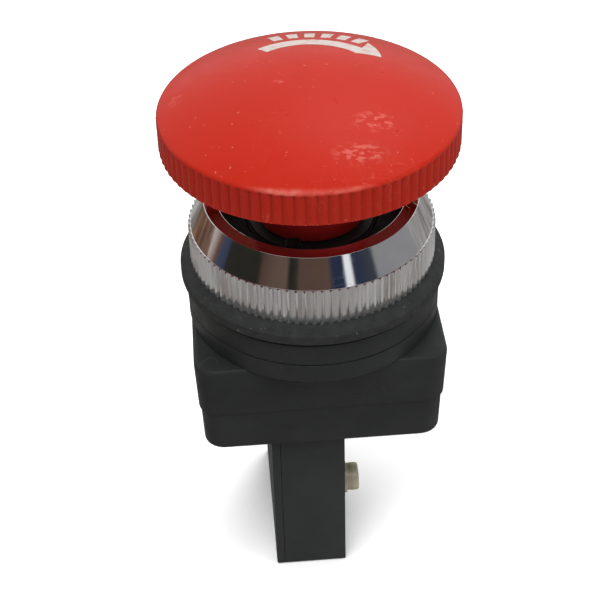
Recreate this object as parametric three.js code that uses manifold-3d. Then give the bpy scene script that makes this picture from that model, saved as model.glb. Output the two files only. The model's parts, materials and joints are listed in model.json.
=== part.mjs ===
// Emergency stop button with a turn-to-release mushroom head, for a 25 mm panel hole.
// Millimetres, +Z up. Every piece is drawn with its origin on the button's axis, at the underside
// of the panel gasket: above z = 0 is in front of the panel and below is behind it.
import * as THREE from 'three';
import * as BufferGeometryUtils from 'three/addons/utils/BufferGeometryUtils.js';
import Module from 'manifold-3d';

const wasm = await Module();
wasm.setup();

// ---------------------------------------------------------------- driving dimensions

const HEAD_R = 20;
const PRESS_TRAVEL = 4;
const LATCH_STROKE = 0.8;
const HALF_X = 17.5; // the housing behind the panel, half its width
const HALF_Y = 14.5; // and half its depth
const FIT = 0.1; // gap between pieces that slide or slip over each other
const TURN_GAP = 0.35; // gap around pieces that turn
const ROUND = 40; // segments around a large round piece
const SMALL_ROUND = 12; // segments around a small round piece
const COIL_STEPS = 8; // steps along one turn of a spring

// mushroom head
const RIM_LOW = 20.5;
const RIM_HIGH = 25.2; // the fluted rim ends here, where the crown begins
const CROWN_R = 43;
const FLUTES = 88;
const FLUTE_DEPTH = 0.3;
const SHELL = 2;
const SLEEVE_R = 7.5;
const SLEEVE_LOW = 8.8;
const SLEEVE_HIGH = 25;
const BOSS_R = 4.9;
const BOSS_LOW = 19;
const SLEEVE_LEDGE = 10.6; // from here up the sleeve closes in around the thin end of the stem

// bezel, gasket and spacer around the neck
const NECK_R = 12.4;
const NECK_HIGH = 8.3;
const NECK_BORE = 9;
const GASKET_R = 18.45;
const GASKET_HIGH = 2.3;
const BEZEL_R = 17;
const KNURL_HIGH = 7.7;
const KNURL_TEETH = 92;
const KNURL_DEPTH = 0.45;
const BEZEL_HIGH = 11.65;
const BEZEL_TOP_R = 14.7;
const BEZEL_BORE = 12.8;
const SPACER_R = 17.75;
const SPACER_LOW = -4.25;

// housing
const COLLAR_R = 17.7;
const COLLAR_LOW = -7;
const PARTING = -15.2;
const HOUSING_LOW = -22.1;
const LOWER_INSET = 0.5;
const CORNER_R = 2.8;
const INNER_CORNER_R = 1.4;
const HOUSING_WALL = 2.2;
const INNER_X = HALF_X - HOUSING_WALL;
const INNER_Y = HALF_Y - HOUSING_WALL;
const TOP_WALL_LOW = -8.8;
const FLOOR_HIGH = -20.3;
const FLANGE_R = 14.9;
const FLANGE_LOW = -10.6;
const SCREW_X = 13.4;
const SCREW_Y = 10.4;
const SCREW_POST_R = 2.4;
const SCREW_HEAD_R = 1.8;
const SCREW_SINK = 1.8; // how far the housing screws' heads are sunk into the floor

// stem and latch
const STEM_R = 5.9;
const STEM_LOW = -15.8;
const STEM_FLANGE_R = 8.6;
const STEM_FLANGE_LOW = 6.6;
const SEAL_LOW = 7;
const SEAL_HIGH = 7.9;
const SEAL_GROOVE_R = STEM_FLANGE_R - 1;
const THIN_STEM_LOW = 10.2;
const STEM_HIGH = 18.6;
const GUIDE_HIGH = -1.5;
const GUIDE_LOW = -6.5;
const LATCH_Z = -12.8;
const PIN_R = 1.2;
const PIN_HEAD_R = 1.9;
const PIN_SHOULDER = 10.35; // distance of the pins' heads from the axis
const PIN_HEAD = 0.75;
const SKIRT_R = 9.4;
const SKIRT_LOW = -14.6;
const CLIP_LOW = 12.8;
const CLIP_HIGH = 13.6;

// contact block: its long side runs from front to back
const BLOCK_X = -2.1;
const BLOCK_HALF_X = 5.25;
const BLOCK_FRONT = -12.5;
const BLOCK_REAR = 12.5;
const BLOCK_LOW = -48.5;
const BLOCK_WALL = 1.3;
const COVER_WALL = 1.2;
const CASE_ROOF = 2.2;
const PLUNGER_R = 1.9;
const BRIDGE_Z = -35.7;
const BRIDGE_HALF_Y = 6.2;
const BRIDGE_HALF_THICK = 0.3;
const TERMINAL_Y = 7.6;
const TERMINAL_Z = -35.7;
const TERMINAL_R = 2.1;
const WASHER = 0.6;
const TERMINAL_OUT = 2.4; // how far the terminal screws stand off the block
const BLOCK_SCREW_Y = 9.6;
const BLOCK_SCREW_R = 0.85;
const BLOCK_SCREW_REACH = 3.5; // below the housing, into the block
const BAY_HALF_Y = 8.1; // the empty seat beside the block, for one more block
const BAY_DEPTH = 0.3;

// ---------------------------------------------------------------- shape helpers

function toManifold(geometry) {
  const bare = geometry.clone();
  bare.deleteAttribute('uv');
  bare.deleteAttribute('normal');
  const merged = BufferGeometryUtils.mergeVertices(bare, 1e-4);
  const corners = merged.index.array;
  const triangles = [];
  for (let start = 0; start < corners.length; start += 3) {
    const [a, b, c] = corners.slice(start, start + 3);
    if (a !== b && b !== c && c !== a) triangles.push(a, b, c);
  }
  return new wasm.Manifold(new wasm.Mesh({
    numProp: 3,
    vertProperties: Float32Array.from(merged.attributes.position.array),
    triVerts: Uint32Array.from(triangles),
  }));
}

function toGeometry(manifold) {
  const mesh = manifold.getMesh();
  const geometry = new THREE.BufferGeometry();
  geometry.setAttribute('position', new THREE.BufferAttribute(mesh.vertProperties, 3));
  geometry.setIndex(new THREE.BufferAttribute(mesh.triVerts, 1));
  geometry.computeVertexNormals();
  return geometry;
}

// A solid turned about Z from [radius, z] points. The outline runs counter-clockwise, seen with
// the radius to the right and z up, and closes on itself or starts and ends on the axis.
function turned(outline, segments = ROUND) {
  const points = outline.map(([radius, z]) => new THREE.Vector2(radius, z));
  if (outline[0][0] > 0) points.push(points[0].clone());
  const geometry = new THREE.LatheGeometry(points, segments);
  geometry.rotateX(Math.PI / 2);
  return toManifold(geometry);
}

function cylinder(radius, low, high, segments = SMALL_ROUND) {
  return turned([[0, low], [radius, low], [radius, high], [0, high]], segments);
}

function ring(inner, outer, low, high, segments = ROUND) {
  return turned([[inner, low], [outer, low], [outer, high], [inner, high]], segments);
}

function box(low, high) {
  const size = low.map((start, axis) => high[axis] - start);
  const geometry = new THREE.BoxGeometry(...size);
  geometry.translate(...low.map((start, axis) => start + size[axis] / 2));
  return toManifold(geometry);
}

function extruded(shape, low, high) {
  const options = { depth: high - low, bevelEnabled: false, curveSegments: 4 };
  const geometry = new THREE.ExtrudeGeometry(shape, options);
  geometry.translate(0, 0, low);
  return toManifold(geometry);
}

function roundedRectangle(halfX, halfY, radius) {
  const shape = new THREE.Shape();
  const straightX = halfX - radius;
  const straightY = halfY - radius;
  shape.absarc(straightX, straightY, radius, 0, Math.PI / 2);
  shape.absarc(-straightX, straightY, radius, Math.PI / 2, Math.PI);
  shape.absarc(-straightX, -straightY, radius, Math.PI, 1.5 * Math.PI);
  shape.absarc(straightX, -straightY, radius, 1.5 * Math.PI, 2 * Math.PI);
  return shape;
}

// An outline with evenly spaced ridges around it, for the fluted rim and the knurl.
function ridged(radius, depth, count, low, high) {
  const shape = new THREE.Shape();
  for (let step = 0; step < 2 * count; step += 1) {
    const angle = Math.PI * step / count;
    const reach = step % 2 === 0 ? radius : radius - depth;
    const place = [reach * Math.cos(angle), reach * Math.sin(angle)];
    if (step === 0) shape.moveTo(...place);
    else shape.lineTo(...place);
  }
  shape.closePath();
  return extruded(shape, low, high);
}

// A solid made about Z is laid along +X or -X, with its z = 0 end at the origin.
function alongX(solid, direction) {
  return solid.rotate([0, 90 * direction, 0]);
}

// A round-wire coil about Z, its wire centre line running from low to high.
function coil(radius, wire, low, high, turns) {
  class Helix extends THREE.Curve {
    getPoint(share) {
      const angle = 2 * Math.PI * turns * share;
      const height = low + (high - low) * share;
      return new THREE.Vector3(radius * Math.cos(angle), radius * Math.sin(angle), height);
    }
  }
  const section = new THREE.Shape();
  section.absarc(0, 0, wire, 0, 2 * Math.PI);
  const steps = turns * COIL_STEPS;
  const options = { steps, curveSegments: 2, extrudePath: new Helix(), bevelEnabled: false };
  return toManifold(new THREE.ExtrudeGeometry(section, options));
}

// A screw pointing down: head from low to high, shank below it, and a cross slot in the head.
function screw(headR, headLow, headHigh, shankR, shankLow) {
  const slotDepth = 0.45 * (headHigh - headLow);
  const slotHalf = 0.16 * headR;
  const reach = 0.75 * headR;
  const slotLow = headHigh - slotDepth;
  const body = turned([
    [0, shankLow], [shankR, shankLow], [shankR, headLow], [headR, headLow], [headR, headHigh], [0, headHigh],
  ]);
  const across = box([-reach, -slotHalf, slotLow], [reach, slotHalf, headHigh + 1]);
  const along = box([-slotHalf, -reach, slotLow], [slotHalf, reach, headHigh + 1]);
  return body.subtract(across).subtract(along);
}

function crownHeight(radius) {
  const centre = RIM_HIGH - Math.sqrt(CROWN_R ** 2 - HEAD_R ** 2);
  return centre + Math.sqrt(CROWN_R ** 2 - radius ** 2);
}

// ---------------------------------------------------------------- mushroom head

function mushroomCap() {
  const outer = HEAD_R + 0.1;
  const inner = HEAD_R - SHELL;
  const crown = [];
  const crownSteps = 7;
  for (let step = crownSteps; step >= 1; step -= 1) {
    const radius = outer * step / crownSteps;
    crown.push([radius, crownHeight(radius)]);
  }
  const outline = [
    [0, BOSS_LOW], [BOSS_R, BOSS_LOW], [BOSS_R, SLEEVE_HIGH], [SLEEVE_R + 0.4, SLEEVE_HIGH],
    [inner - 0.5, 23.2], [inner, RIM_LOW], [HEAD_R - 0.25, RIM_LOW], [outer, RIM_LOW + 0.4],
    ...crown, [0, crownHeight(0)],
  ];
  const rim = ridged(HEAD_R, FLUTE_DEPTH, FLUTES, BOSS_LOW - 1, crownHeight(0) + 1);
  return turned(outline).intersect(rim);
}

function turnSleeve() {
  const wide = STEM_R + TURN_GAP;
  const bossBore = BOSS_R + FIT;
  const ledgeBore = 4.35;
  const clipSeat = CLIP_LOW - 0.05;
  return turned([
    [wide, SLEEVE_LOW], [SLEEVE_R, SLEEVE_LOW], [SLEEVE_R, SLEEVE_HIGH], [bossBore, SLEEVE_HIGH],
    [bossBore, clipSeat], [ledgeBore, clipSeat], [ledgeBore, SLEEVE_LEDGE], [wide, SLEEVE_LEDGE],
  ]);
}

// ---------------------------------------------------------------- stem and its small parts

function pushStem() {
  const slope = LATCH_STROKE / PRESS_TRAVEL;
  const taperLow = LATCH_Z - 0.3;
  const taperHigh = taperLow + PRESS_TRAVEL;
  const grooveHigh = LATCH_Z + PRESS_TRAVEL + PIN_R + 0.1;
  const grooveR = STEM_R - slope * (taperHigh - taperLow);
  const neckR = 4;
  const clipGrooveR = 2.6;
  const tipR = 3.3;
  return turned([
    [0, STEM_LOW], [STEM_R - 0.6, STEM_LOW], [STEM_R, STEM_LOW + 0.6], [STEM_R, taperLow],
    [grooveR, taperHigh], [grooveR, grooveHigh], [STEM_R, grooveHigh],
    [STEM_R, STEM_FLANGE_LOW], [STEM_FLANGE_R, STEM_FLANGE_LOW], [STEM_FLANGE_R, SEAL_LOW],
    [SEAL_GROOVE_R, SEAL_LOW], [SEAL_GROOVE_R, SEAL_HIGH], [STEM_FLANGE_R, SEAL_HIGH],
    [STEM_FLANGE_R, NECK_HIGH], [STEM_R, NECK_HIGH], [STEM_R, THIN_STEM_LOW],
    [neckR, THIN_STEM_LOW], [neckR, CLIP_LOW], [clipGrooveR, CLIP_LOW],
    [clipGrooveR, CLIP_HIGH], [tipR, CLIP_HIGH], [tipR, STEM_HIGH], [0, STEM_HIGH],
  ]);
}

function stemClip() {
  const washer = ring(2.7, 4.65, CLIP_LOW, CLIP_HIGH, SMALL_ROUND);
  const mouth = box([-1.6, 0, CLIP_LOW - 1], [1.6, 6, CLIP_HIGH + 1]);
  return washer.subtract(mouth);
}

function stemSeal() {
  const outer = NECK_BORE - FIT / 2;
  const soft = 0.25;
  return turned([
    [SEAL_GROOVE_R, SEAL_LOW], [outer - soft, SEAL_LOW], [outer, SEAL_LOW + soft],
    [outer, SEAL_HIGH - soft], [outer - soft, SEAL_HIGH], [SEAL_GROOVE_R, SEAL_HIGH],
  ]);
}

function latchPin(side) {
  const tipAt = STEM_R + FIT / 2;
  const headEnd = PIN_SHOULDER + PIN_HEAD;
  const tailR = 0.8;
  const tailEnd = headEnd + 1.5;
  const tipCurve = [-90, -60, -30, 0].map((degrees) => {
    const angle = THREE.MathUtils.degToRad(degrees);
    return [PIN_R * Math.cos(angle), tipAt + PIN_R + PIN_R * Math.sin(angle)];
  });
  const outline = [
    [0, tipAt], ...tipCurve.slice(1), [PIN_R, PIN_SHOULDER], [PIN_HEAD_R, PIN_SHOULDER],
    [PIN_HEAD_R, headEnd], [tailR, headEnd], [tailR, tailEnd], [0, tailEnd],
  ];
  return alongX(turned(outline, SMALL_ROUND), side).translate([0, 0, LATCH_Z]);
}

function latchSpring(side) {
  const wire = 0.2;
  const start = PIN_SHOULDER + PIN_HEAD + wire + 0.02;
  const end = INNER_X - wire - 0.02;
  return alongX(coil(1.3, wire, start, end, 4), side).translate([0, 0, LATCH_Z]);
}

function returnSpring() {
  const wire = 0.4;
  return coil(7.3, wire, GUIDE_HIGH + wire + 0.02, STEM_FLANGE_LOW - wire - 0.02, 4);
}

function resetSpring() {
  const wire = 0.32;
  return coil(4.1, wire, CLIP_HIGH + wire + 0.05, BOSS_LOW - wire - 0.1, 5);
}

// ---------------------------------------------------------------- neck, bezel and panel clamp

function operatorBarrel() {
  const guideR = STEM_R + FIT;
  const skirtBore = STEM_R + 0.5;
  const flangeHalfY = INNER_Y - FIT;
  const sleeve = turned([
    [guideR, GUIDE_LOW], [skirtBore, GUIDE_LOW], [skirtBore, SKIRT_LOW], [SKIRT_R, SKIRT_LOW],
    [SKIRT_R, TOP_WALL_LOW], [NECK_R, TOP_WALL_LOW], [NECK_R, NECK_HIGH], [NECK_BORE, NECK_HIGH],
    [NECK_BORE, GUIDE_HIGH], [guideR, GUIDE_HIGH],
  ]);
  const flange = ring(SKIRT_R - 1, FLANGE_R, FLANGE_LOW, TOP_WALL_LOW).intersect(
    box([-FLANGE_R, -flangeHalfY, FLANGE_LOW - 1], [FLANGE_R, flangeHalfY, TOP_WALL_LOW + 1]),
  );
  const stopTab = box([-4.2, -11, NECK_HIGH - 0.5], [-2.2, -9.3, 11.2]);
  const pinHoles = alongX(cylinder(PIN_R + FIT, -FLANGE_R, FLANGE_R), 1).translate([0, 0, LATCH_Z]);
  return sleeve.add(flange).add(stopTab).subtract(pinHoles);
}

function bezelRing() {
  const bore = NECK_R + FIT;
  const valley = BEZEL_R - KNURL_DEPTH;
  const edge = 0.1;
  const lipLow = NECK_HIGH + 0.2;
  const foot = ridged(BEZEL_R, KNURL_DEPTH, KNURL_TEETH, GASKET_HIGH, KNURL_HIGH);
  const cone = turned([
    [bore, GASKET_HIGH], [valley, GASKET_HIGH], [valley, KNURL_HIGH], [BEZEL_R - edge, KNURL_HIGH],
    [BEZEL_TOP_R + edge, BEZEL_HIGH - edge], [BEZEL_TOP_R - edge, BEZEL_HIGH],
    [BEZEL_BORE, BEZEL_HIGH], [BEZEL_BORE, lipLow], [bore, lipLow],
  ]);
  return foot.subtract(cylinder(bore, 0, BEZEL_HIGH, ROUND)).add(cone);
}

function gasket() {
  const bore = NECK_R + FIT;
  const bevelLow = 1.35;
  return turned([
    [bore, 0], [GASKET_R, 0], [GASKET_R, bevelLow], [BEZEL_R, GASKET_HIGH], [bore, GASKET_HIGH],
  ]);
}

function spacerRing() {
  const bore = NECK_R + FIT;
  const stepR = BEZEL_R - 0.2;
  const stepLow = -0.75;
  return turned([
    [bore, SPACER_LOW], [SPACER_R, SPACER_LOW], [SPACER_R, stepLow],
    [stepR, stepLow], [stepR, 0], [bore, 0],
  ]);
}

// ---------------------------------------------------------------- housing

function upperHousing() {
  const edge = 0.7;
  const inset = edge / 2;
  const sides = extruded(roundedRectangle(HALF_X, HALF_Y, CORNER_R), PARTING, COLLAR_LOW - edge);
  const shoulder = extruded(
    roundedRectangle(HALF_X - inset, HALF_Y - inset, CORNER_R), COLLAR_LOW - edge, COLLAR_LOW,
  );
  // The collar overhangs the front and the rear, and slopes back to them below.
  const slopeLow = COLLAR_LOW - (COLLAR_R - HALF_Y);
  const collar = turned([
    [0, slopeLow], [HALF_Y, slopeLow], [COLLAR_R, COLLAR_LOW], [COLLAR_R, SPACER_LOW], [0, SPACER_LOW],
  ]);
  const cavity = extruded(roundedRectangle(INNER_X, INNER_Y, INNER_CORNER_R), PARTING - 1, TOP_WALL_LOW);
  let shell = sides.add(shoulder).add(collar).subtract(cavity);
  for (const side of [-1, 1]) {
    const post = cylinder(SCREW_POST_R, PARTING, TOP_WALL_LOW + 0.5);
    const corner = box([-1, -1, PARTING], [HOUSING_WALL, HOUSING_WALL, TOP_WALL_LOW + 0.5]);
    const turnedPost = post.add(corner).rotate([0, 0, side > 0 ? 0 : 180]);
    shell = shell.add(turnedPost.translate([side * SCREW_X, side * SCREW_Y, 0]));
  }
  const flangeRoom = cylinder(FLANGE_R + FIT, FLANGE_LOW - 1, TOP_WALL_LOW, ROUND).intersect(cavity);
  const neckHole = cylinder(NECK_R + FIT, TOP_WALL_LOW - 1, 0, ROUND);
  shell = shell.subtract(flangeRoom).subtract(neckHole);
  for (const side of [-1, 1]) {
    const threadHole = cylinder(1.15, PARTING - 1, PARTING + 3.4);
    shell = shell.subtract(threadHole.translate([side * SCREW_X, side * SCREW_Y, 0]));
  }
  return shell;
}

function lowerHousing() {
  const halfX = HALF_X - LOWER_INSET;
  const halfY = HALF_Y - LOWER_INSET;
  const edge = 0.6;
  const inset = edge / 2;
  const sides = extruded(roundedRectangle(halfX, halfY, CORNER_R), HOUSING_LOW + edge, PARTING);
  const bottom = extruded(
    roundedRectangle(halfX - inset, halfY - inset, CORNER_R), HOUSING_LOW, HOUSING_LOW + edge,
  );
  const cavity = extruded(roundedRectangle(INNER_X, INNER_Y, INNER_CORNER_R), FLOOR_HIGH, PARTING + 1);
  const plungerHole = cylinder(PLUNGER_R + FIT, HOUSING_LOW - 1, PARTING).translate([BLOCK_X, 0, 0]);
  let shell = sides.add(bottom).subtract(cavity);
  for (const side of [-1, 1]) {
    const at = [side * SCREW_X, side * SCREW_Y, 0];
    const post = cylinder(SCREW_POST_R, FLOOR_HIGH - 0.5, PARTING).translate(at);
    const shankHole = cylinder(1.25, HOUSING_LOW - 1, PARTING + 1).translate(at);
    const sunk = cylinder(SCREW_HEAD_R + 0.15, HOUSING_LOW - 1, HOUSING_LOW + SCREW_SINK).translate(at);
    shell = shell.add(post).subtract(shankHole).subtract(sunk).subtract(blockScrewHole(side));
  }
  const bayLeft = BLOCK_X + BLOCK_HALF_X + FIT;
  const bay = box(
    [bayLeft, -BAY_HALF_Y, HOUSING_LOW - 1],
    [bayLeft + 2 * BLOCK_HALF_X, BAY_HALF_Y, HOUSING_LOW + BAY_DEPTH],
  );
  return shell.subtract(bay).subtract(plungerHole);
}

function housingScrew(side) {
  const headLow = -HOUSING_LOW - SCREW_SINK;
  const tip = -PARTING - 3;
  const upright = screw(SCREW_HEAD_R, headLow, headLow + 1.3, 1.05, tip);
  return upright.rotate([180, 0, 0]).translate([side * SCREW_X, side * SCREW_Y, 0]);
}

// ---------------------------------------------------------------- contact block

function blockScrewHole(side) {
  const low = HOUSING_LOW - BLOCK_SCREW_REACH - 1;
  return cylinder(BLOCK_SCREW_R + 0.05, low, FLOOR_HIGH + 1).translate([BLOCK_X, side * BLOCK_SCREW_Y, 0]);
}

function contactCase() {
  const left = BLOCK_X - BLOCK_HALF_X + COVER_WALL;
  const right = BLOCK_X + BLOCK_HALF_X;
  const outer = box([left, BLOCK_FRONT, BLOCK_LOW], [right, BLOCK_REAR, HOUSING_LOW]);
  const hollow = box(
    [left - 1, BLOCK_FRONT + BLOCK_WALL, BLOCK_LOW + BLOCK_WALL],
    [right - BLOCK_WALL, BLOCK_REAR - BLOCK_WALL, HOUSING_LOW - CASE_ROOF],
  );
  const plungerHole = cylinder(PLUNGER_R + FIT, HOUSING_LOW - CASE_ROOF - 1, HOUSING_LOW + 1);
  let shell = outer.subtract(hollow).subtract(plungerHole.translate([BLOCK_X, 0, 0]));
  for (const side of [-1, 1]) {
    const wallHole = alongX(cylinder(1.3, BLOCK_HALF_X - BLOCK_WALL - 0.5, BLOCK_HALF_X + 1), 1);
    shell = shell.subtract(wallHole.translate([BLOCK_X, side * TERMINAL_Y, TERMINAL_Z]));
    shell = shell.subtract(blockScrewHole(side));
  }
  return shell;
}

function contactCover() {
  const left = BLOCK_X - BLOCK_HALF_X;
  const inner = left + COVER_WALL;
  const clear = BLOCK_WALL + FIT;
  const plate = box([left, BLOCK_FRONT, BLOCK_LOW], [inner, BLOCK_REAR, HOUSING_LOW]);
  const lip = box(
    [inner - 0.2, BLOCK_FRONT + clear, BLOCK_LOW + clear],
    [inner + 0.6, BLOCK_REAR - clear, HOUSING_LOW - CASE_ROOF - FIT],
  );
  return plate.add(lip);
}

function contactPlunger() {
  const half = PLUNGER_R;
  const carrierLow = BRIDGE_Z - 1.4;
  const slotHalfZ = BRIDGE_HALF_THICK + 0.05;
  const tip = cylinder(PLUNGER_R, BRIDGE_Z + 0.4, STEM_LOW - FIT / 2);
  const carrier = box([-half, -half, carrierLow], [half, half, BRIDGE_Z + 3]);
  const slot = box([-1.3, -half - 1, BRIDGE_Z - slotHalfZ], [1.3, half + 1, BRIDGE_Z + slotHalfZ]);
  const nose = cylinder(1, carrierLow - 2, carrierLow + 0.4);
  return tip.add(carrier).add(nose).subtract(slot).translate([BLOCK_X, 0, 0]);
}

function movingBridge() {
  return box(
    [BLOCK_X - 1.2, -BRIDGE_HALF_Y, BRIDGE_Z - BRIDGE_HALF_THICK],
    [BLOCK_X + 1.2, BRIDGE_HALF_Y, BRIDGE_Z + BRIDGE_HALF_THICK],
  );
}

function contactSpring() {
  const wire = 0.25;
  const low = BLOCK_LOW + BLOCK_WALL + wire + 0.02;
  return coil(1.45, wire, low, BRIDGE_Z - 1.4 - wire - 0.02, 7).translate([BLOCK_X, 0, 0]);
}

function fixedContact(side) {
  const right = BLOCK_X + BLOCK_HALF_X - BLOCK_WALL;
  const stripLow = BRIDGE_Z + BRIDGE_HALF_THICK + 0.05;
  const stripInner = BRIDGE_HALF_Y - 1.6;
  const tabHalfY = 2.4;
  const strip = box(
    [BLOCK_X - 1.2, stripInner, stripLow],
    [right - FIT, TERMINAL_Y + 1, stripLow + 0.6],
  );
  const tab = box(
    [right - 0.9, TERMINAL_Y - tabHalfY, BRIDGE_Z - 2.4],
    [right - FIT, TERMINAL_Y + tabHalfY, BRIDGE_Z + 2.6],
  );
  const hole = alongX(cylinder(1.1, BLOCK_X + 1, right + 1), 1).translate([0, TERMINAL_Y, TERMINAL_Z]);
  const contact = strip.add(tab).subtract(hole);
  return side < 0 ? contact.mirror([0, 1, 0]) : contact;
}

function terminalWasher(side) {
  const right = BLOCK_X + BLOCK_HALF_X;
  const washer = alongX(ring(1.15, TERMINAL_R + 0.3, 0, WASHER, SMALL_ROUND), 1);
  return washer.translate([right, side * TERMINAL_Y, TERMINAL_Z]);
}

function terminalScrew(side) {
  const right = BLOCK_X + BLOCK_HALF_X;
  const upright = screw(TERMINAL_R, WASHER, TERMINAL_OUT, 1.05, -3.2);
  return alongX(upright, 1).translate([right, side * TERMINAL_Y, TERMINAL_Z]);
}

function blockScrew(side) {
  const tip = HOUSING_LOW - BLOCK_SCREW_REACH;
  const upright = screw(1.8, FLOOR_HIGH, FLOOR_HIGH + 1.3, BLOCK_SCREW_R, tip);
  return upright.translate([BLOCK_X, side * BLOCK_SCREW_Y, 0]);
}

// ---------------------------------------------------------------- materials and assembly

const FINISHES = {
  red_plastic: { color: 0xc83223, roughness: 0.35, metalness: 0 },
  dark_red_plastic: { color: 0x9c2018, roughness: 0.4, metalness: 0 },
  chrome: { color: 0xd9d9dc, roughness: 0.08, metalness: 1 },
  rubber: { color: 0x2e302f, roughness: 0.85, metalness: 0 },
  black_plastic: { color: 0x26282a, roughness: 0.55, metalness: 0 },
  grey_plastic: { color: 0x6f7274, roughness: 0.5, metalness: 0 },
  spring_steel: { color: 0xa9adb1, roughness: 0.3, metalness: 1 },
  zinc_steel: { color: 0xb9ad93, roughness: 0.35, metalness: 1 },
  brass: { color: 0xb08d4a, roughness: 0.35, metalness: 1 },
};

const PIECES = [
  ['mushroom_cap', 'red_plastic', mushroomCap()],
  ['turn_sleeve', 'dark_red_plastic', turnSleeve()],
  ['push_stem', 'grey_plastic', pushStem()],
  ['stem_clip', 'spring_steel', stemClip()],
  ['stem_seal', 'rubber', stemSeal()],
  ['reset_spring', 'spring_steel', resetSpring()],
  ['return_spring', 'spring_steel', returnSpring()],
  ['latch_pin_left', 'zinc_steel', latchPin(-1)],
  ['latch_pin_right', 'zinc_steel', latchPin(1)],
  ['latch_spring_left', 'spring_steel', latchSpring(-1)],
  ['latch_spring_right', 'spring_steel', latchSpring(1)],
  ['operator_barrel', 'black_plastic', operatorBarrel()],
  ['bezel_ring', 'chrome', bezelRing()],
  ['gasket', 'rubber', gasket()],
  ['spacer_ring', 'black_plastic', spacerRing()],
  ['upper_housing', 'black_plastic', upperHousing()],
  ['lower_housing', 'black_plastic', lowerHousing()],
  ['housing_screw_left', 'zinc_steel', housingScrew(-1)],
  ['housing_screw_right', 'zinc_steel', housingScrew(1)],
  ['contact_case', 'black_plastic', contactCase()],
  ['contact_cover', 'black_plastic', contactCover()],
  ['contact_plunger', 'grey_plastic', contactPlunger()],
  ['moving_bridge', 'brass', movingBridge()],
  ['contact_spring', 'spring_steel', contactSpring()],
  ['fixed_contact_front', 'brass', fixedContact(-1)],
  ['fixed_contact_rear', 'brass', fixedContact(1)],
  ['terminal_washer_front', 'zinc_steel', terminalWasher(-1)],
  ['terminal_washer_rear', 'zinc_steel', terminalWasher(1)],
  ['terminal_screw_front', 'zinc_steel', terminalScrew(-1)],
  ['terminal_screw_rear', 'zinc_steel', terminalScrew(1)],
  ['block_screw_front', 'zinc_steel', blockScrew(-1)],
  ['block_screw_rear', 'zinc_steel', blockScrew(1)],
];

// The assembly is lifted so that its lowest point, the end of the contact block, is at z = 0.
const button = new THREE.Group();
button.name = 'emergency_stop_button';
button.position.z = -BLOCK_LOW;
for (const [name, finish, solid] of PIECES) {
  const mesh = new THREE.Mesh(toGeometry(solid), new THREE.MeshStandardMaterial(FINISHES[finish]));
  mesh.name = name;
  button.add(mesh);
}

export default button;
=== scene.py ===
"""Looks of the emergency stop button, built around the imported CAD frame.

Helpers take millimetres with z = 0 at the underside of the panel gasket, as the CAD source does;
the meshes they make are in metres in the row frame, whose z = 0 is the end of the contact block.
"""

import json
import math

import bmesh
import bpy
import numpy as np
from mathutils import Matrix, Vector

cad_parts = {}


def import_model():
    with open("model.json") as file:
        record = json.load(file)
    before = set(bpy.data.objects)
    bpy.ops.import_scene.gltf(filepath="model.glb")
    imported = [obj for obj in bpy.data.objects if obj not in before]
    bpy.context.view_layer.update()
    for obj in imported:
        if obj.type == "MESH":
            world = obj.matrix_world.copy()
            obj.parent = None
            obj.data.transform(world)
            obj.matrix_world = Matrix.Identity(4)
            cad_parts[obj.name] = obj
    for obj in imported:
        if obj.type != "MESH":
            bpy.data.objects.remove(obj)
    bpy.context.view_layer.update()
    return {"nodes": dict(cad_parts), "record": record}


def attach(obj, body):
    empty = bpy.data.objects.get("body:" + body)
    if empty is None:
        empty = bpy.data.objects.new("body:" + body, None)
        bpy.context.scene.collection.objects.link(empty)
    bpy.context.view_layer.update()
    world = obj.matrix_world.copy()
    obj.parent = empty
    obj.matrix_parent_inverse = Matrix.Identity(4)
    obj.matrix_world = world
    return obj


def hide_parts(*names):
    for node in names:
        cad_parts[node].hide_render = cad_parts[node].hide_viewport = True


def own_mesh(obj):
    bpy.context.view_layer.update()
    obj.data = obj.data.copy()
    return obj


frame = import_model()

# ---------------------------------------------------------------- dimensions, mm
MM = 0.001
LIFT = 48.5  # the contact block's end is this far below the gasket

HEAD_R, CAP_WALL = 20, 2
RIM_LOW, RIM_HIGH = 20.5, 25.2
CROWN_R = 43
FLUTES, FLUTE_DEPTH = 88, 0.3
SLEEVE_R, SLEEVE_LOW, SLEEVE_HIGH = 7.5, 8.8, 25
BOSS_R, BOSS_LOW = 4.9, 19

NECK_R, NECK_HIGH, NECK_BORE = 12.4, 8.3, 9
SLIP = 0.1  # gap around the neck
TAB_LOW, TAB_HIGH = (-4.2, -11), (-2.2, -9.3)  # corners of the stop tab on the neck's rim
TAB_TOP = 11.2
GASKET_R, GASKET_HIGH = 18.45, 2.3
BEZEL_R, BEZEL_HIGH = 17, 11.65
KNURL_HIGH, KNURL_TEETH, KNURL_DEPTH = 7.7, 92, 0.5
BEZEL_TOP_R, BEZEL_BORE = 14.7, 12.8
SPACER_R, SPACER_LOW = 17.75, -4.25

HALF_X, HALF_Y = 17.5, 14.5
CORNER_R = 2.8
COLLAR_R, COLLAR_LOW = 17.7, -7
PARTING, HOUSING_LOW = -15.2, -22.1
LOWER_INSET = 0.5
INNER_X, INNER_Y, INNER_CORNER_R = 15.3, 12.3, 1.4
TOP_WALL_LOW, FLOOR_HIGH = -8.8, -20.3
FLANGE_R, FLANGE_LOW = 14.9, -10.6
SCREW_X, SCREW_Y, POST_R = 13.4, 10.4, 2.3
SCREW_R, SCREW_HEAD_R, SCREW_HEAD, SCREW_TIP = 1.05, 1.8, 1.3, 9.9
SCREW_BORE, SCREW_PASSAGE = 1.15, 1.25
SINK_R, SINK_DEPTH = 1.95, 1.8

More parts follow.
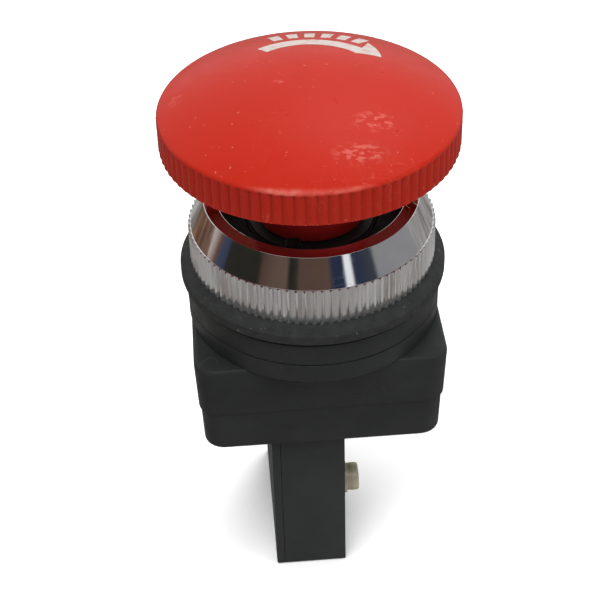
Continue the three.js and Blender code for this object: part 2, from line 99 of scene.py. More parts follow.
TRAVEL = 4  # of the press
STEM_R, STEM_LOW = 5.9, -15.8
NOSE_R, NOSE_LOW = 4, 10.2
TIP_R, TIP_HIGH, CLIP_GROOVE_R = 3.3, 18.6, 2.6
STEM_FLANGE_R, STEM_FLANGE_LOW = 8.6, 6.6
SEAL_LOW, SEAL_HIGH, SEAL_BORE = 7, 7.9, 7.6
GUIDE_HIGH, GUIDE_LOW = -1.5, -6.5
LATCH_Z, LATCH_GROOVE, LATCH_BORE = -12.8, 0.8, 1.3
SKIRT_R, SKIRT_LOW = 9.4, -14.6
CLIP_LOW, CLIP_HIGH = 12.8, 13.6
RESET_R, RESET_WIRE = 4.1, 0.32  # springs: middle of the coil and half the wire
RETURN_R, RETURN_WIRE = 7.3, 0.4

BLOCK_X, BLOCK_HALF_X = -2.1, 5.25
BLOCK_HALF_Y, BLOCK_LOW = 12.5, -48.5
BLOCK_WALL, COVER_WALL, CASE_ROOF = 1.3, 1.2, 2.2
BRIDGE_Z = -35.7
TERMINAL_Y, TERMINAL_Z = 7.6, -35.7
TERMINAL_R, WASHER, TERMINAL_OUT, TERMINAL_TIP = 2.1, 0.6, 2.4, 3.2
WASHER_BORE, TERMINAL_BORE = 1.15, 1.3
BLOCK_SCREW_Y, BLOCK_SCREW_BORE, PLUNGER_HOLE_R = 9.6, 0.9, 2
CONTACT_R, CONTACT_WIRE = 1.45, 0.25
BAY_HALF_Y, BAY_DEPTH = 8.1, 0.3

ROUND = 192  # segments around a large round piece
SMOOTH_BELOW = math.radians(34)


# ---------------------------------------------------------------- mesh helpers
def place(point):
    """A point in millimetres from the gasket's underside, as metres in the row frame."""
    x, y, z = point
    return Vector((x * MM, y * MM, (z + LIFT) * MM))


def make_object(name, points, faces):
    mesh = bpy.data.meshes.new(name)
    mesh.from_pydata([place(p) for p in points], [], faces)
    mesh.validate()
    piece = bpy.data.objects.new(name, mesh)
    bpy.context.scene.collection.objects.link(piece)
    tidy_normals(piece)
    return piece


def tidy_normals(piece):
    """Merges doubled points, turns every face outwards and keeps only real edges sharp."""
    shape = bmesh.new()
    shape.from_mesh(piece.data)
    bmesh.ops.remove_doubles(shape, verts=shape.verts, dist=1e-7)
    bmesh.ops.recalc_face_normals(shape, faces=shape.faces)
    shape.to_mesh(piece.data)
    shape.free()
    for face in piece.data.polygons:
        face.use_smooth = True
    piece.data.set_sharp_from_angle(angle=SMOOTH_BELOW)


def rounded(outline, radius, steps=4):
    """The outline with each corner rounded; a corner's own radius can be its third value."""
    result = []
    count = len(outline)
    for index, corner in enumerate(outline):
        here = Vector(corner[:2])
        wanted = corner[2] if len(corner) > 2 else radius
        before = Vector(outline[index - 1][:2]) - here
        after = Vector(outline[(index + 1) % count][:2]) - here
        turn = before.angle(after, math.pi)
        if wanted <= 0 or turn > math.radians(176):
            result.append(tuple(here))
            continue
        reach = min(wanted / math.tan(turn / 2), 0.45 * before.length, 0.45 * after.length)
        start = here + before.normalized() * reach
        end = here + after.normalized() * reach
        for step in range(steps + 1):
            t = step / steps
            spot = start * (1 - t) ** 2 + here * 2 * t * (1 - t) + end * t ** 2
            result.append(tuple(spot))
    return result


def turned(name, outline, segments=ROUND, reach=None):
    """A solid turned about the axis from (radius, z) points. reach(radius, z, angle) may
    change the radius of each point, which makes flutes and knurls."""
    points = []
    faces = []
    rows = len(outline)
    for step in range(segments):
        angle = 2 * math.pi * step / segments
        for radius, z in outline:
            r = reach(radius, z, angle) if reach else radius
            points.append((r * math.cos(angle), r * math.sin(angle), z))
    closed = outline[0][0] > 1e-6
    for step in range(segments):
        here = step * rows
        there = ((step + 1) % segments) * rows
        for row in range(rows if closed else rows - 1):
            up = (row + 1) % rows
            faces.append((here + row, there + row, there + up, here + up))
    return make_object(name, points, faces)


def section(half_x, half_y, corner, steps=8):
    """Points around a rectangle with rounded corners."""
    ring = []
    for quarter, (sx, sy) in enumerate(((1, 1), (-1, 1), (-1, -1), (1, -1))):
        for step in range(steps + 1):
            angle = math.pi / 2 * (quarter + step / steps)
            x = sx * (half_x - corner) + corner * math.cos(angle)
            y = sy * (half_y - corner) + corner * math.sin(angle)
            ring.append((x, y))
    return ring


def lofted(name, levels, centre=(0, 0)):
    """A solid through rounded rectangles: each level is (half x, half y, corner radius, z)."""
    points = []
    faces = []
    for half_x, half_y, corner, z in levels:
        points += [(centre[0] + x, centre[1] + y, z) for x, y in section(half_x, half_y, corner)]
    around = len(section(1, 1, 0.1))
    for level in range(len(levels) - 1):
        for step in range(around):
            a = level * around + step
            b = level * around + (step + 1) % around
            faces.append((a, b, b + around, a + around))
    faces.append(tuple(reversed(range(around))))
    faces.append(tuple(range(len(points) - around, len(points))))
    return make_object(name, points, faces)


def soft_block(name, low, high, corner, edge, steps=4):
    """A box with rounded upright corners and rounded top and bottom edges."""
    half_x, half_y = (high[0] - low[0]) / 2, (high[1] - low[1]) / 2
    centre = ((high[0] + low[0]) / 2, (high[1] + low[1]) / 2)
    levels = []
    for step in range(steps + 1):
        angle = math.pi / 2 * step / steps
        inset = edge * (1 - math.sin(angle))
        levels.append((inset, low[2] + edge * (1 - math.cos(angle))))
    for step in range(steps + 1):
        angle = math.pi / 2 * (1 - step / steps)
        inset = edge * (1 - math.sin(angle))
        levels.append((inset, high[2] - edge * (1 - math.cos(angle))))
    sizes = [(half_x - i, half_y - i, max(corner - i, 0.02), z) for i, z in levels]
    return lofted(name, sizes, centre)


def cylinder(radius, low, high, at=(0, 0), segments=48):
    tool = turned("tool", [(0, low), (radius, low), (radius, high), (0, high)], segments)
    tool.location = Vector((at[0] * MM, at[1] * MM, 0))
    return tool


def along_x(piece, direction, at):
    """Lays a piece made about the axis from the gasket's level along +X or -X, at a point."""
    turn = Matrix.Rotation(math.radians(90 * direction), 4, "Y")
    lift = Vector((0, 0, LIFT * MM))
    piece.data.transform(Matrix.Translation(-lift))
    piece.data.transform(turn)
    piece.data.transform(Matrix.Translation(place(at)))
    return piece


def combine(piece, tool, how):
    """Cuts tool from piece, or joins or intersects it, and throws the tool away."""
    change = piece.modifiers.new("combine", "BOOLEAN")
    change.operation = how
    change.solver = "EXACT"
    change.object = tool
    bpy.context.view_layer.update()
    graph = bpy.context.evaluated_depsgraph_get()
    mesh = bpy.data.meshes.new_from_object(piece.evaluated_get(graph))
    piece.modifiers.clear()
    piece.data = mesh
    bpy.data.objects.remove(tool)
    tidy_normals(piece)
    return piece


def coil(name, radius, wire, low, high, turns):
    """A round-wire spring about the axis, closed at both ends."""
    around, steps = 10, 36 * turns
    points = []
    faces = []
    for step in range(steps + 1):
        share = step / steps
        angle = 2 * math.pi * turns * share
        z = low + (high - low) * share
        for spot in range(around):
            lean = 2 * math.pi * spot / around
            r = radius + wire * math.cos(lean)
            points.append((r * math.cos(angle), r * math.sin(angle), z + wire * math.sin(lean)))
    for step in range(steps):
        for spot in range(around):
            a = step * around + spot
            b = step * around + (spot + 1) % around
            faces.append((a, b, b + around, a + around))
    faces.append(tuple(reversed(range(around))))
    faces.append(tuple(range(len(points) - around, len(points))))
    return make_object(name, points, faces)


def finish_piece(piece, body, slot, look, *nodes):
    """Puts the material on, hands the piece to its body and hides the CAD nodes it stands for."""
    piece.data.materials.clear()
    piece.data.materials.append(look)
    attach(piece, body)
    if nodes:
        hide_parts(*nodes)
    return piece


# ---------------------------------------------------------------- material helpers
class Nodes:
    """Short ways to add shader nodes to one node tree."""

    def __init__(self, tree):
        self.tree = tree

    def node(self, kind):
        return self.tree.nodes.new("ShaderNode" + kind)

    def link(self, source, target):
        self.tree.links.new(source, target)

    def feed(self, value, socket):
        """A socket takes a number, a colour or another node's output."""
        if isinstance(value, tuple):
            socket.default_value = (*value, 1)
        elif isinstance(value, (int, float)):
            socket.default_value = value
        else:
            self.link(value, socket)

    def ramp(self, factor, stops):
        """stops are (position, grey value or colour)."""
        node = self.node("ValToRGB")
        elements = node.color_ramp.elements
        while len(elements) < len(stops):
            elements.new(0.5)
        for element, (position, value) in zip(elements, stops):
            element.position = position
            colour = value if isinstance(value, tuple) else (value,) * 3
            element.color = (*colour, 1)
        self.link(factor, node.inputs["Fac"])
        return node.outputs["Color"]

    def maths(self, how, *values):
        node = self.node("Math")
        node.operation = how
        for socket, value in zip(node.inputs, values):
            self.feed(value, socket)
        return node.outputs["Value"]

    def mix(self, factor, a, b):
        node = self.node("Mix")
        node.data_type = "RGBA"
        colours = [socket for socket in node.inputs if socket.type == "RGBA"]
        for socket, value in zip(colours, (a, b)):
            self.feed(value, socket)
        self.feed(factor, node.inputs[0])
        return [socket for socket in node.outputs if socket.type == "RGBA"][0]

    def parts(self, vector):
        """The X, Y and Z of a vector."""
        node = self.node("SeparateXYZ")
        self.link(vector, node.inputs[0])
        return node.outputs["X"], node.outputs["Y"], node.outputs["Z"]


class Look(Nodes):
    """A principled material whose inputs are driven by textures in the piece's own space."""

    def __init__(self, name, **values):
        self.material = bpy.data.materials.new(name)
        self.material.use_nodes = True
        super().__init__(self.material.node_tree)
        self.shader = self.tree.nodes["Principled BSDF"]
        self.space = self.node("TexCoord").outputs["Object"]
        self.relief = None
        for key, value in values.items():
            self.shader.inputs[key.replace("_", " ")].default_value = value

    def noise(self, per_mm, detail=4, stretch=(1, 1, 1)):
        shift = self.node("Mapping")
        shift.inputs["Scale"].default_value = stretch
        self.link(self.space, shift.inputs["Vector"])
        texture = self.node("TexNoise")
        texture.inputs["Scale"].default_value = per_mm / MM
        texture.inputs["Detail"].default_value = detail
        self.link(shift.outputs["Vector"], texture.inputs["Vector"])
        return texture.outputs["Fac"]

    def spot(self, centre, radius):
        """1 inside a ball round a point in millimetres, fading to 0 at its surface."""
        shift = self.node("Mapping")
        shift.vector_type = "TEXTURE"
        shift.inputs["Location"].default_value = place(centre)
        shift.inputs["Scale"].default_value = tuple(r * MM for r in radius)
        self.link(self.space, shift.inputs["Vector"])
        ball = self.node("VectorMath")
        ball.operation = "LENGTH"
        self.link(shift.outputs["Vector"], ball.inputs[0])
        return self.ramp(ball.outputs["Value"], [(0.4, 1.0), (1.0, 0.0)])

    def height_mm(self):
        """Height above the gasket's underside."""
        up = self.parts(self.space)[2]
        return self.maths("SUBTRACT", self.maths("DIVIDE", up, MM), LIFT)

    def bump(self, height, distance, strength=1.0):
        """Adds a layer of relief, distance in millimetres, on top of the earlier ones."""
        node = self.node("Bump")
        node.inputs["Strength"].default_value = strength
        node.inputs["Distance"].default_value = distance * MM
        self.link(height, node.inputs["Height"])
        if self.relief is not None:
            self.link(self.relief, node.inputs["Normal"])
        self.relief = node.outputs["Normal"]
        self.link(self.relief, self.shader.inputs["Normal"])

    def set(self, name, source):
        self.link(source, self.shader.inputs[name])


# ---------------------------------------------------------------- materials
def scratches(look, per_mm, stretch, width):
    """Thin lines where a stretched noise crosses its middle value, broken up by a second noise."""
    lines = look.noise(per_mm, detail=1, stretch=stretch)
    near = look.maths("ABSOLUTE", look.maths("SUBTRACT", lines, 0.5))
    thin = look.ramp(near, [(0.0, 1.0), (width, 0.0)])
    broken = look.ramp(look.noise(0.09, detail=2), [(0.56, 0.0), (0.66, 1.0)])
    return look.maths("MULTIPLY", thin, broken)


# Scuffed places on the mushroom cap: centre and reach of each, mm.
SCUFFS = [
    ((-17.3, 1.4, 26.6), (1.3, 1.6, 1.0)),
    ((-3.9, -1.2, 30.0), (1.4, 0.5, 0.6)),
    ((7.6, -9.4, 28.3), (3.6, 2.2, 1.6)),
    ((5.2, -14.6, 27.2), (4.2, 2.2, 1.6)),
]
# Front rim edge of the cap: real wear there, plus a painted highlight along the edge that faces the
# camera; centre and reach, mm.
WORN_EDGE_AND_HIGHLIGHT = ((-3, -20, 25.25), (11, 3.5, 0.4))


def red_plastic():
    look = Look("red_plastic", Specular_IOR_Level=0.2)
    worn = look.ramp(look.noise(0.05, detail=5), [(0.35, 0.0), (0.7, 1.0)])
    base = look.mix(worn, (0.335, 0.0105, 0.0026), (0.315, 0.0125, 0.004))
    marks = scratches(look, 0.12, (1, 5, 1), 0.004)
    more = scratches(look, 0.16, (4, 1, 1), 0.003)
    specks = look.ramp(look.noise(1.6, detail=1), [(0.74, 0.0), (0.78, 1.0)])
    scuffed = look.maths("MAXIMUM", marks, more)
    streaks = look.ramp(look.noise(0.9, detail=7, stretch=(1, 1.8, 1)), [(0.5, 0.0), (0.6, 1.0)])
    for centre, radius in SCUFFS:
        patch = look.maths("MULTIPLY", look.spot(centre, radius), streaks)
        scuffed = look.maths("MAXIMUM", scuffed, patch)
    # Pale colour on the front rim edge: partly real wear, partly a painted highlight.
    chipped = look.ramp(look.noise(0.7, detail=4), [(0.4, 0.25), (0.65, 1.0)])
    edge = look.maths("MULTIPLY", look.spot(*WORN_EDGE_AND_HIGHLIGHT), chipped)
    pale = look.maths("MULTIPLY", look.maths("MAXIMUM", scuffed, specks), 0.5)
    pale = look.maths("MAXIMUM", pale, look.maths("MULTIPLY", edge, 0.8))
    look.set("Base Color", look.mix(pale, base, (0.5, 0.13, 0.1)))
    rough = look.ramp(look.noise(0.4, detail=6), [(0.3, 0.27), (0.7, 0.36)])
    look.set("Roughness", look.maths("ADD", rough, look.maths("MULTIPLY", scuffed, 0.25)))
    look.bump(look.noise(2.2, detail=3), 0.006)
    look.bump(scuffed, 0.01, 0.25)
    return look.material


def dark_red_plastic():
    look = Look("dark_red_plastic", Specular_IOR_Level=0.4)
    tone = look.noise(0.3, detail=4)
    look.set("Base Color", look.ramp(tone, [(0.3, (0.20, 0.006, 0.006)), (0.7, (0.26, 0.009, 0.008))]))
    look.set("Roughness", look.ramp(look.noise(0.8), [(0.3, 0.36), (0.7, 0.48)]))
    look.bump(look.noise(2.5), 0.01)
    return look.material


def chrome():
    """Polished on the cone, satin on the knurl below it."""
    look = Look("chrome", Metallic=1.0)
    tone = look.noise(0.25, detail=4)
    look.set("Base Color", look.ramp(tone, [(0.3, (0.80, 0.80, 0.80)), (0.7, (0.88, 0.88, 0.87))]))
    marks = scratches(look, 0.3, (1, 1, 6), 0.006)
    polished = look.ramp(look.noise(0.7, detail=5), [(0.35, 0.045), (0.7, 0.10)])
    satin = look.ramp(look.noise(0.9, detail=5, stretch=(1, 1, 0.3)), [(0.35, 0.12), (0.7, 0.22)])
    knurl = look.maths("LESS_THAN", look.height_mm(), KNURL_HIGH - 0.1)
    look.set("Metallic", look.maths("SUBTRACT", 1.0, look.maths("MULTIPLY", knurl, 0.08)))
    rough = look.mix(knurl, polished, satin)
    look.set("Roughness", look.maths("ADD", rough, look.maths("MULTIPLY", marks, 0.2)))
    look.bump(look.noise(0.16, detail=2), 0.02, 0.5)
    look.bump(marks, 0.01, 0.5)
    return look.material


def rubber():
    look = Look("rubber", Specular_IOR_Level=0.3)
    tone = look.noise(0.7, detail=6)
    base = look.ramp(tone, [(0.3, (0.016, 0.0175, 0.017)), (0.7, (0.026, 0.028, 0.027))])
    dust = look.ramp(look.noise(2.2, detail=2), [(0.70, 0.0), (0.76, 1.0)])
    look.set("Base Color", look.mix(dust, base, (0.12, 0.12, 0.115)))
    look.set("Roughness", look.ramp(look.noise(1.2), [(0.3, 0.62), (0.7, 0.8)]))
    look.bump(look.noise(3.5, detail=4), 0.03)
    return look.material


def black_plastic(name="black_plastic", shade=1.0, rough=(0.42, 0.56)):
    look = Look(name, Specular_IOR_Level=0.25)
    tone = look.noise(0.12, detail=6)
    low = tuple(shade * v for v in (0.0145, 0.0157, 0.0158))
    high = tuple(shade * v for v in (0.0205, 0.0222, 0.022))
    base = look.ramp(tone, [(0.3, low), (0.7, high)])
    dust = look.ramp(look.noise(1.5, detail=2), [(0.745, 0.0), (0.78, 1.0)])
    marks = look.maths("MULTIPLY", scratches(look, 0.12, (1, 1, 4), 0.004), 0.5)
    look.set("Base Color", look.mix(look.maths("MAXIMUM", dust, marks), base, (0.05, 0.05, 0.048)))
    look.set("Roughness", look.ramp(look.noise(0.5, detail=5), [(0.3, rough[0]), (0.7, rough[1])]))
    look.bump(look.noise(4, detail=3), 0.012)
    return look.material


def grey_plastic():
    look = Look("grey_plastic", Specular_IOR_Level=0.4)
    tone = look.noise(0.3)
    look.set("Base Color", look.ramp(tone, [(0.3, (0.016, 0.016, 0.017)), (0.7, (0.026, 0.026, 0.027))]))
    look.set("Roughness", look.ramp(look.noise(1.0), [(0.3, 0.4), (0.7, 0.55)]))
    look.bump(look.noise(3), 0.01)
    return look.material


def metal(name, low, high, rough, grain, metallic=1.0):
    """Plain metal with a grain: low and high are the ends of its colour."""
    look = Look(name, Metallic=metallic)
    look.set("Base Color", look.ramp(look.noise(0.6, detail=5), [(0.3, low), (0.7, high)]))
    look.set("Roughness", look.ramp(look.noise(1.5, stretch=grain), [(0.3, rough), (0.7, rough + 0.15)]))
    look.bump(look.noise(4, detail=3, stretch=grain), 0.008)
    return look.material


def white_ink():
    look = Look("white_ink", Specular_IOR_Level=0.3)
    worn = look.noise(0.8, detail=6)
    look.set("Base Color", look.ramp(worn, [(0.3, (0.38, 0.24, 0.22)), (0.5, (0.42, 0.37, 0.35))]))
    look.set("Roughness", look.ramp(look.noise(2), [(0.3, 0.45), (0.7, 0.6)]))
    look.bump(look.noise(5), 0.004)
    return look.material


LOOKS = {
    "red_plastic": red_plastic(),
    "dark_red_plastic": dark_red_plastic(),
    "chrome": chrome(),
    "rubber": rubber(),
    "black_plastic": black_plastic(),
    "block_plastic": black_plastic("block_plastic", 1.25),
    # The barrel's black plastic at a quarter of its brightness: painted shade from the cap over it.
    "barrel_plastic_painted_shade": black_plastic("barrel_plastic_painted_shade", 0.25, (0.6, 0.75)),
    "grey_plastic": grey_plastic(),
    "spring_steel": metal("spring_steel", (0.42, 0.43, 0.45), (0.6, 0.61, 0.63), 0.25, (1, 1, 1)),
    "zinc_steel": metal("zinc_steel", (0.46, 0.41, 0.3), (0.6, 0.55, 0.42), 0.42, (1, 1, 1), 0.6),
    "brass": metal("brass", (0.48, 0.34, 0.13), (0.62, 0.46, 0.2), 0.3, (1, 3, 1)),
    "white_ink": white_ink(),
}


def add(piece, body, slot, *nodes):
    return finish_piece(piece, body, slot, LOOKS[slot], *nodes)


# ---------------------------------------------------------------- mushroom head
def crown_height(radius):
    centre = RIM_HIGH - math.sqrt(CROWN_R ** 2 - HEAD_R ** 2)
    return centre + math.sqrt(CROWN_R ** 2 - radius ** 2)


def flute_reach(angle):
    """Radius of the fluted rim: round ridges with sharp valleys between them."""
    return HEAD_R - FLUTE_DEPTH * (1 - abs(math.cos(FLUTES * angle / 2)) ** 1.1)


def mushroom_cap():
    """The flutes fade out just below the crown, which rolls over into the rim."""
    outer = HEAD_R + 0.02
    inner = HEAD_R - CAP_WALL
    under = rounded([
        (BOSS_R, BOSS_LOW, 0.3), (BOSS_R, SLEEVE_HIGH, 0.3), (SLEEVE_R + 0.4, SLEEVE_HIGH, 0.3),
        (inner - 0.5, 23.2, 0.8), (inner, RIM_LOW, 0.25), (outer, RIM_LOW, 0.35),
        (outer, RIM_HIGH, 0), (0, RIM_HIGH, 0), (0, BOSS_LOW, 0),
    ], 0.3)[:-3]
    plain = np.linspace(RIM_LOW + 0.6, RIM_HIGH - 1.2, 7)
    fading = np.linspace(RIM_HIGH - 0.8, RIM_HIGH - 0.45, 5)
    side = [(outer, z) for z in (*plain, *fading)]
    roll = 1.3
    crown_r = HEAD_R - roll
    shoulder = rounded([
        (outer, RIM_HIGH - roll, 0), (outer, RIM_HIGH), (crown_r, crown_height(crown_r), 0),
    ], 0.9, steps=10)[1:]
    crown = [(radius, crown_height(radius)) for radius in np.linspace(crown_r - 0.5, 0, 26)]

    def reach(radius, z, angle):
        if radius < inner + 1 or z < RIM_LOW + 0.05:
            return radius
        fluted = min(max((RIM_HIGH - 0.1 - z) / 0.45, 0), 1)
        return min(radius, HEAD_R - fluted * (HEAD_R - flute_reach(angle)))

    outline = [(0, BOSS_LOW)] + under + side + shoulder + crown
    return turned("mushroom_cap_shell", outline, FLUTES * 10, reach)


def on_crown(radius, degrees):
    angle = math.radians(degrees)
    return (radius * math.cos(angle), radius * math.sin(angle), crown_height(radius))


def print_sheet(name, rows):
    """A thin printed mark over a grid of crown points, slightly proud of the cap."""
    across = len(rows[0])
    count = len(rows) * across
    points = [(x, y, z + 0.03) for row in rows for x, y, z in row]
    points += [(x, y, z - 0.05) for row in rows for x, y, z in row]
    faces = []
    for row in range(len(rows) - 1):
        for spot in range(across - 1):
            a = row * across + spot
            faces.append((a, a + 1, a + across + 1, a + across))
            faces.append((count + a, count + a + across, count + a + across + 1, count + a + 1))
    rim = list(range(across)) + [row * across + across - 1 for row in range(1, len(rows))]
    rim += [count - 1 - spot for spot in range(1, across)]
    rim += [row * across for row in range(len(rows) - 2, 0, -1)]
    for a, b in zip(rim, rim[1:] + rim[:1]):
        faces.append((a, b, b + count, a + count))
    return make_object(name, points, faces)


def arrow_pieces():
    band = [[on_crown(r, a) for r in np.linspace(9.2, 11.4, 6)] for a in np.linspace(122, 43.5, 48)]
    inner, outer, tip = np.array((9.0, 43)), np.array((14.2, 51)), np.array((11.6, 29))
    head = []
    for share in np.linspace(0, 0.97, 20):
        start = inner + (tip - inner) * share
        end = outer + (tip - outer) * share
        head.append([on_crown(*(start + (end - start) * t)) for t in np.linspace(0, 1, 8)])
    return print_sheet("turn_arrow_band", band), print_sheet("turn_arrow_head", head)


def print_marks():
    """Plain dashes behind the arrow, in place of the words printed there."""
    marks = []
    for index, degrees in enumerate(np.linspace(56, 104, 6)):
        rows = []
        for turn in np.linspace(-2.9, 2.9, 7):
            rows.append([on_crown(r, degrees + turn) for r in np.linspace(12.7, 15.4, 7)])
        marks.append(print_sheet(f"print_dash_{index + 1}", rows))
    return marks


def turn_sleeve():
    wide = STEM_R + 0.35
    narrow = NOSE_R + 0.35
    step = NOSE_LOW + 0.4
    seat = CLIP_LOW - 0.05
    boss_bore = BOSS_R + 0.1
    return turned("turn_sleeve_fine", rounded([
        (wide, SLEEVE_LOW), (SLEEVE_R, SLEEVE_LOW), (SLEEVE_R, SLEEVE_HIGH), (boss_bore, SLEEVE_HIGH),
        (boss_bore, seat), (narrow, seat), (narrow, step), (wide, step),
    ], 0.25), 96)


# ---------------------------------------------------------------- stem and seal
def push_stem():
    taper_low = LATCH_Z - 0.3
    groove_r = STEM_R - LATCH_GROOVE
    groove_high = LATCH_Z + 5.3
    return turned("push_stem_fine", [(0, STEM_LOW)] + rounded([
        (STEM_R - 0.5, STEM_LOW), (STEM_R, STEM_LOW + 0.6), (STEM_R, taper_low),
        (groove_r, taper_low + TRAVEL), (groove_r, groove_high), (STEM_R, groove_high),
        (STEM_R, STEM_FLANGE_LOW), (STEM_FLANGE_R, STEM_FLANGE_LOW), (STEM_FLANGE_R, SEAL_LOW),
        (SEAL_BORE, SEAL_LOW), (SEAL_BORE, SEAL_HIGH), (STEM_FLANGE_R, SEAL_HIGH),
        (STEM_FLANGE_R, NECK_HIGH), (STEM_R, NECK_HIGH), (STEM_R, NOSE_LOW), (NOSE_R, NOSE_LOW),
        (NOSE_R, CLIP_LOW), (CLIP_GROOVE_R, CLIP_LOW), (CLIP_GROOVE_R, CLIP_HIGH),
        (TIP_R, CLIP_HIGH), (TIP_R, TIP_HIGH),
    ], 0.12, steps=3) + [(0, TIP_HIGH)], 96)


def stem_seal():
    outer = NECK_BORE - 0.05
    return turned("stem_seal_fine", rounded([
        (SEAL_BORE, SEAL_LOW), (outer, SEAL_LOW, 0.3), (outer, SEAL_HIGH, 0.3), (SEAL_BORE, SEAL_HIGH),
    ], 0.1), 96)


# ---------------------------------------------------------------- neck, bezel and panel clamp
def operator_barrel():
    guide_r = STEM_R + 0.1
    skirt_bore = STEM_R + 0.5
    barrel = turned("operator_barrel_fine", rounded([
        (guide_r, GUIDE_LOW), (skirt_bore, GUIDE_LOW), (skirt_bore, SKIRT_LOW), (SKIRT_R, SKIRT_LOW),
        (SKIRT_R, TOP_WALL_LOW, 0), (NECK_R, TOP_WALL_LOW, 0), (NECK_R, NECK_HIGH, 0.4),
        (NECK_BORE, NECK_HIGH, 0.5), (NECK_BORE, GUIDE_HIGH), (guide_r, GUIDE_HIGH),
    ], 0.2), 128)
    flange = turned("tool", [
        (SKIRT_R - 1, FLANGE_LOW), (FLANGE_R, FLANGE_LOW),
        (FLANGE_R, TOP_WALL_LOW), (SKIRT_R - 1, TOP_WALL_LOW),
    ], 128)
    limit = INNER_Y - 0.1
    combine(flange, soft_block("tool_2", (-16, -limit, -12), (16, limit, -7), 0.1, 0.1), "INTERSECT")
    combine(barrel, flange, "UNION")
    tab = soft_block("tool", (*TAB_LOW, NECK_HIGH - 0.5), (*TAB_HIGH, TAB_TOP), 0.25, 0.25)
    combine(barrel, tab, "UNION")
    reach = 20  # past both sides of the barrel
    bar = along_x(cylinder(LATCH_BORE, -reach, reach), 1, (0, 0, LATCH_Z))
    return combine(barrel, bar, "DIFFERENCE")


def bezel_ring():
    bore = NECK_R + SLIP
    valley = BEZEL_R - KNURL_DEPTH
    flat = 0.25  # share of each tooth's pitch that is valley floor
    shelf = NECK_HIGH + 0.2
    outline = rounded([
        (bore, GASKET_HIGH, 0.1), (BEZEL_R - 0.15, GASKET_HIGH, 0), (BEZEL_R, GASKET_HIGH + 0.25, 0),
        (BEZEL_R, KNURL_HIGH - 0.15, 0), (BEZEL_R - 0.2, KNURL_HIGH, 0),
        (BEZEL_R - 0.38, KNURL_HIGH + 0.02, 0.1), (BEZEL_TOP_R, BEZEL_HIGH, 0.14),
        (BEZEL_BORE, BEZEL_HIGH, 0.2), (BEZEL_BORE, shelf, 0.1), (bore, shelf, 0.1),
    ], 0.1, steps=5)

    def reach(radius, z, angle):
        if z >= KNURL_HIGH or radius < valley:
            return radius
        phase = (KNURL_TEETH * angle / (2 * math.pi)) % 1
        ridge = max((abs(2 * phase - 1) - flat) / (1 - flat), 0)
        return min(radius, valley + KNURL_DEPTH * ridge)

    return turned("bezel_ring_fine", outline, KNURL_TEETH * 8, reach)


def gasket():
    bore = NECK_R + SLIP
    return turned("gasket_fine", rounded([
        (bore, 0), (GASKET_R, 0, 0.1), (GASKET_R, 1.35, 0.06),
        (BEZEL_R - 0.1, GASKET_HIGH, 0.05), (bore, GASKET_HIGH),
    ], 0.12), ROUND)


def spacer_ring():
    bore = NECK_R + SLIP
    foot = SPACER_R - 0.25
    step = BEZEL_R - 0.2
    return turned("spacer_ring_fine", rounded([
        (bore, SPACER_LOW), (foot, SPACER_LOW, 0.05), (foot, SPACER_LOW + 0.2, 0.05),
        (SPACER_R, SPACER_LOW + 0.25, 0.08), (SPACER_R, -0.8, 0.12),
        (step, -0.75, 0.05), (step, 0, 0.05), (bore, 0),
    ], 0.1), ROUND)


# ---------------------------------------------------------------- housing
def edge_levels(half_x, half_y, corner, z, edge, up, steps=6):
    """Levels that round the rim of a section off: up is 1 for a top rim and -1 for a bottom one."""
    levels = []
    for step in range(steps + 1):
        angle = math.pi / 2 * step / steps
        inset = edge * (1 - math.cos(angle))
        height = z - up * edge * (1 - math.sin(angle))
        levels.append((half_x - inset, half_y - inset, corner - 0.4 * inset, height))
    return levels if up > 0 else list(reversed(levels))


def housing_cavity(low, high):
    return lofted("tool", [(INNER_X, INNER_Y, INNER_CORNER_R, z) for z in (low, high)])


def upper_housing():
    draft = 0.25
    levels = [(HALF_X - draft - 0.12, HALF_Y - draft - 0.12, CORNER_R, PARTING)]
    levels.append((HALF_X - draft, HALF_Y - draft, CORNER_R, PARTING + 0.15))
    levels += edge_levels(HALF_X, HALF_Y, CORNER_R, COLLAR_LOW, 0.6, 1)
    shell = lofted("upper_housing_fine", levels)
    slope_low = COLLAR_LOW - (COLLAR_R - HALF_Y)
    collar = turned("tool", [(0, slope_low)] + rounded([
        (HALF_Y - 0.5, slope_low - 0.4, 0), (COLLAR_R, COLLAR_LOW, 0.5),
        (COLLAR_R, SPACER_LOW, 0.2), (0, SPACER_LOW, 0),
    ], 0.2), ROUND)
    combine(shell, collar, "UNION")
    combine(shell, housing_cavity(PARTING - 1, TOP_WALL_LOW), "DIFFERENCE")
    combine(shell, cylinder(NECK_R + SLIP, TOP_WALL_LOW - 1, 0, segments=128), "DIFFERENCE")
    for side in (-1, 1):
        at = (side * SCREW_X, side * SCREW_Y)
        combine(shell, cylinder(POST_R, PARTING, FLANGE_LOW - 0.2, at), "UNION")
        combine(shell, cylinder(SCREW_BORE, PARTING - 1, PARTING + 3.4, at), "DIFFERENCE")
    return shell


